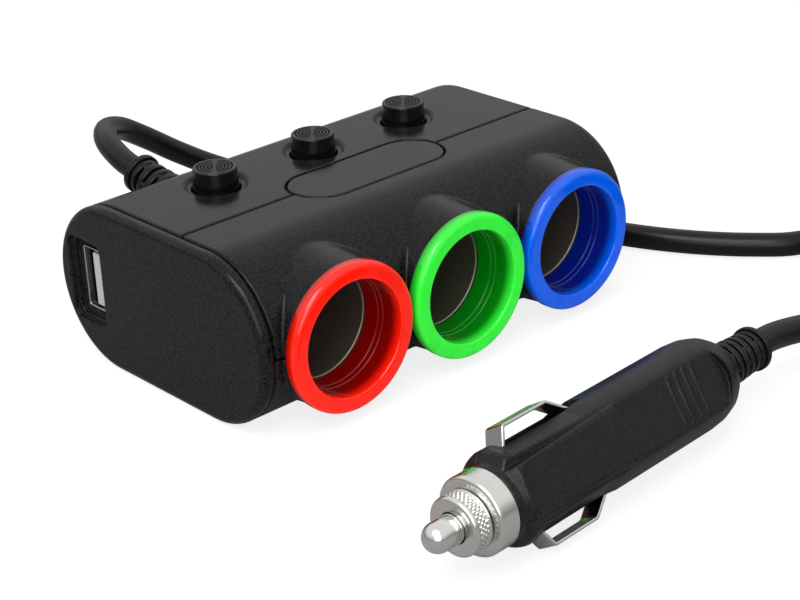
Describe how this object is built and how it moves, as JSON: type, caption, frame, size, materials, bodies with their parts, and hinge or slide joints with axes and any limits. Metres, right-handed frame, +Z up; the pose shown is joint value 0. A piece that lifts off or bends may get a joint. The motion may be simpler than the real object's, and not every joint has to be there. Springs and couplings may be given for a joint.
{
  "type": "car power socket splitter",
  "caption": "Pill-shaped housing with a row of lit 12 V sockets, push buttons on top, a USB port in one end and a corded lighter-socket plug.",
  "frame": {"origin": "bottom centre of the housing with its sockets, on the surface that it stands on; the lead and the plug are left out of that box", "axes": "+X along the row of sockets towards the end without the USB port, +Y from the sockets to the back, +Z up through the buttons"},
  "size_m": [0.1963, 0.1918, 0.0374],
  "materials": {
    "housing": "satin moulded, finely grained",
    "button": "satin",
    "ring_red": "clear tinted, polished",
    "ring_green": "clear tinted, polished",
    "ring_blue": "clear tinted, polished",
    "circuit_board": "lacquered",
    "sleeve": "plated",
    "insulator": "hard laminate",
    "brass": "stamped",
    "switch": "moulded",
    "usb_tongue": "moulded",
    "screw": "plated",
    "plug_body": "satin moulded",
    "nickel": "nickel plated",
    "fuse": "glass tube with plated caps",
    "lead": "soft satin"
  },
  "bodies": {
    "housing": {"lower_shell": "housing", "front_top_cover": "housing", "rear_top_cover": "housing", "left_end_cap": "housing", "badge_plate": "housing", "ring_red": "ring_red", "ring_green": "ring_green", "ring_blue": "ring_blue", "lamp_board_left": "circuit_board", "lamp_board_middle": "circuit_board", "lamp_board_right": "circuit_board", "sleeve_left": "sleeve", "sleeve_middle": "sleeve", "sleeve_right": "sleeve", "insulator_left": "insulator", "insulator_middle": "insulator", "insulator_right": "insulator", "centre_contact_left": "brass", "centre_contact_middle": "brass", "centre_contact_right": "brass", "live_bar": "brass", "earth_bar": "brass", "switch_left": "switch", "switch_middle": "switch", "switch_right": "switch", "switch_board": "circuit_board", "usb_shell": "nickel", "usb_tongue": "usb_tongue", "usb_board": "circuit_board", "housing_screws": "screw", "housing_relief": "lead", "plug_front_shell": "plug_body", "plug_back_shell": "plug_body", "nose_ring": "nickel", "pin_spring": "screw", "fuse_contact": "brass", "plug_screw": "screw", "plug_relief": "lead", "cord_start": "lead", "cord_coil": "lead", "cord_end": "lead"},
    "left_button": {"button_left": "button"},
    "middle_button": {"button_middle": "button"},
    "right_button": {"button_right": "button"},
    "cap": {"fuse_cap": "nickel"},
    "pin": {"centre_pin": "nickel", "fuse": "fuse"},
    "top_spring": {"side_contact_top": "nickel"},
    "bottom_spring": {"side_contact_bottom": "nickel"}
  },
  "joints": [
    {"name": "left_button_press", "type": "slide", "parent": "housing", "child": "left_button", "axis": [0, 0, -1], "range_m": [0, 0.002], "stiffness_N_per_m": 900, "springref_m": -0.001},
    {"name": "middle_button_press", "type": "slide", "parent": "housing", "child": "middle_button", "axis": [0, 0, -1], "range_m": [0, 0.002], "stiffness_N_per_m": 900, "springref_m": -0.001},
    {"name": "right_button_press", "type": "slide", "parent": "housing", "child": "right_button", "axis": [0, 0, -1], "range_m": [0, 0.002], "stiffness_N_per_m": 900, "springref_m": -0.001},
    {"name": "fuse_cap_unscrew", "type": "slide", "parent": "housing", "child": "cap", "axis": [-0.9986, -0.0523, 0], "range_m": [0, 0.014]},
    {"name": "centre_pin_press", "type": "slide", "parent": "cap", "child": "pin", "axis": [0.9986, 0.0523, 0], "range_m": [0, 0.002], "stiffness_N_per_m": 1500, "springref_m": -0.001, "deforming": ["pin_spring"]},
    {"name": "top_contact_press", "type": "slide", "parent": "housing", "child": "top_spring", "axis": [0.0277, -0.5292, -0.848], "range_m": [0, 0.0016], "stiffness_N_per_m": 2500, "springref_m": -0.0005},
    {"name": "bottom_contact_press", "type": "slide", "parent": "housing", "child": "bottom_spring", "axis": [-0.0277, 0.5292, 0.848], "range_m": [0, 0.0016], "stiffness_N_per_m": 2500, "springref_m": -0.0005}
  ]
}
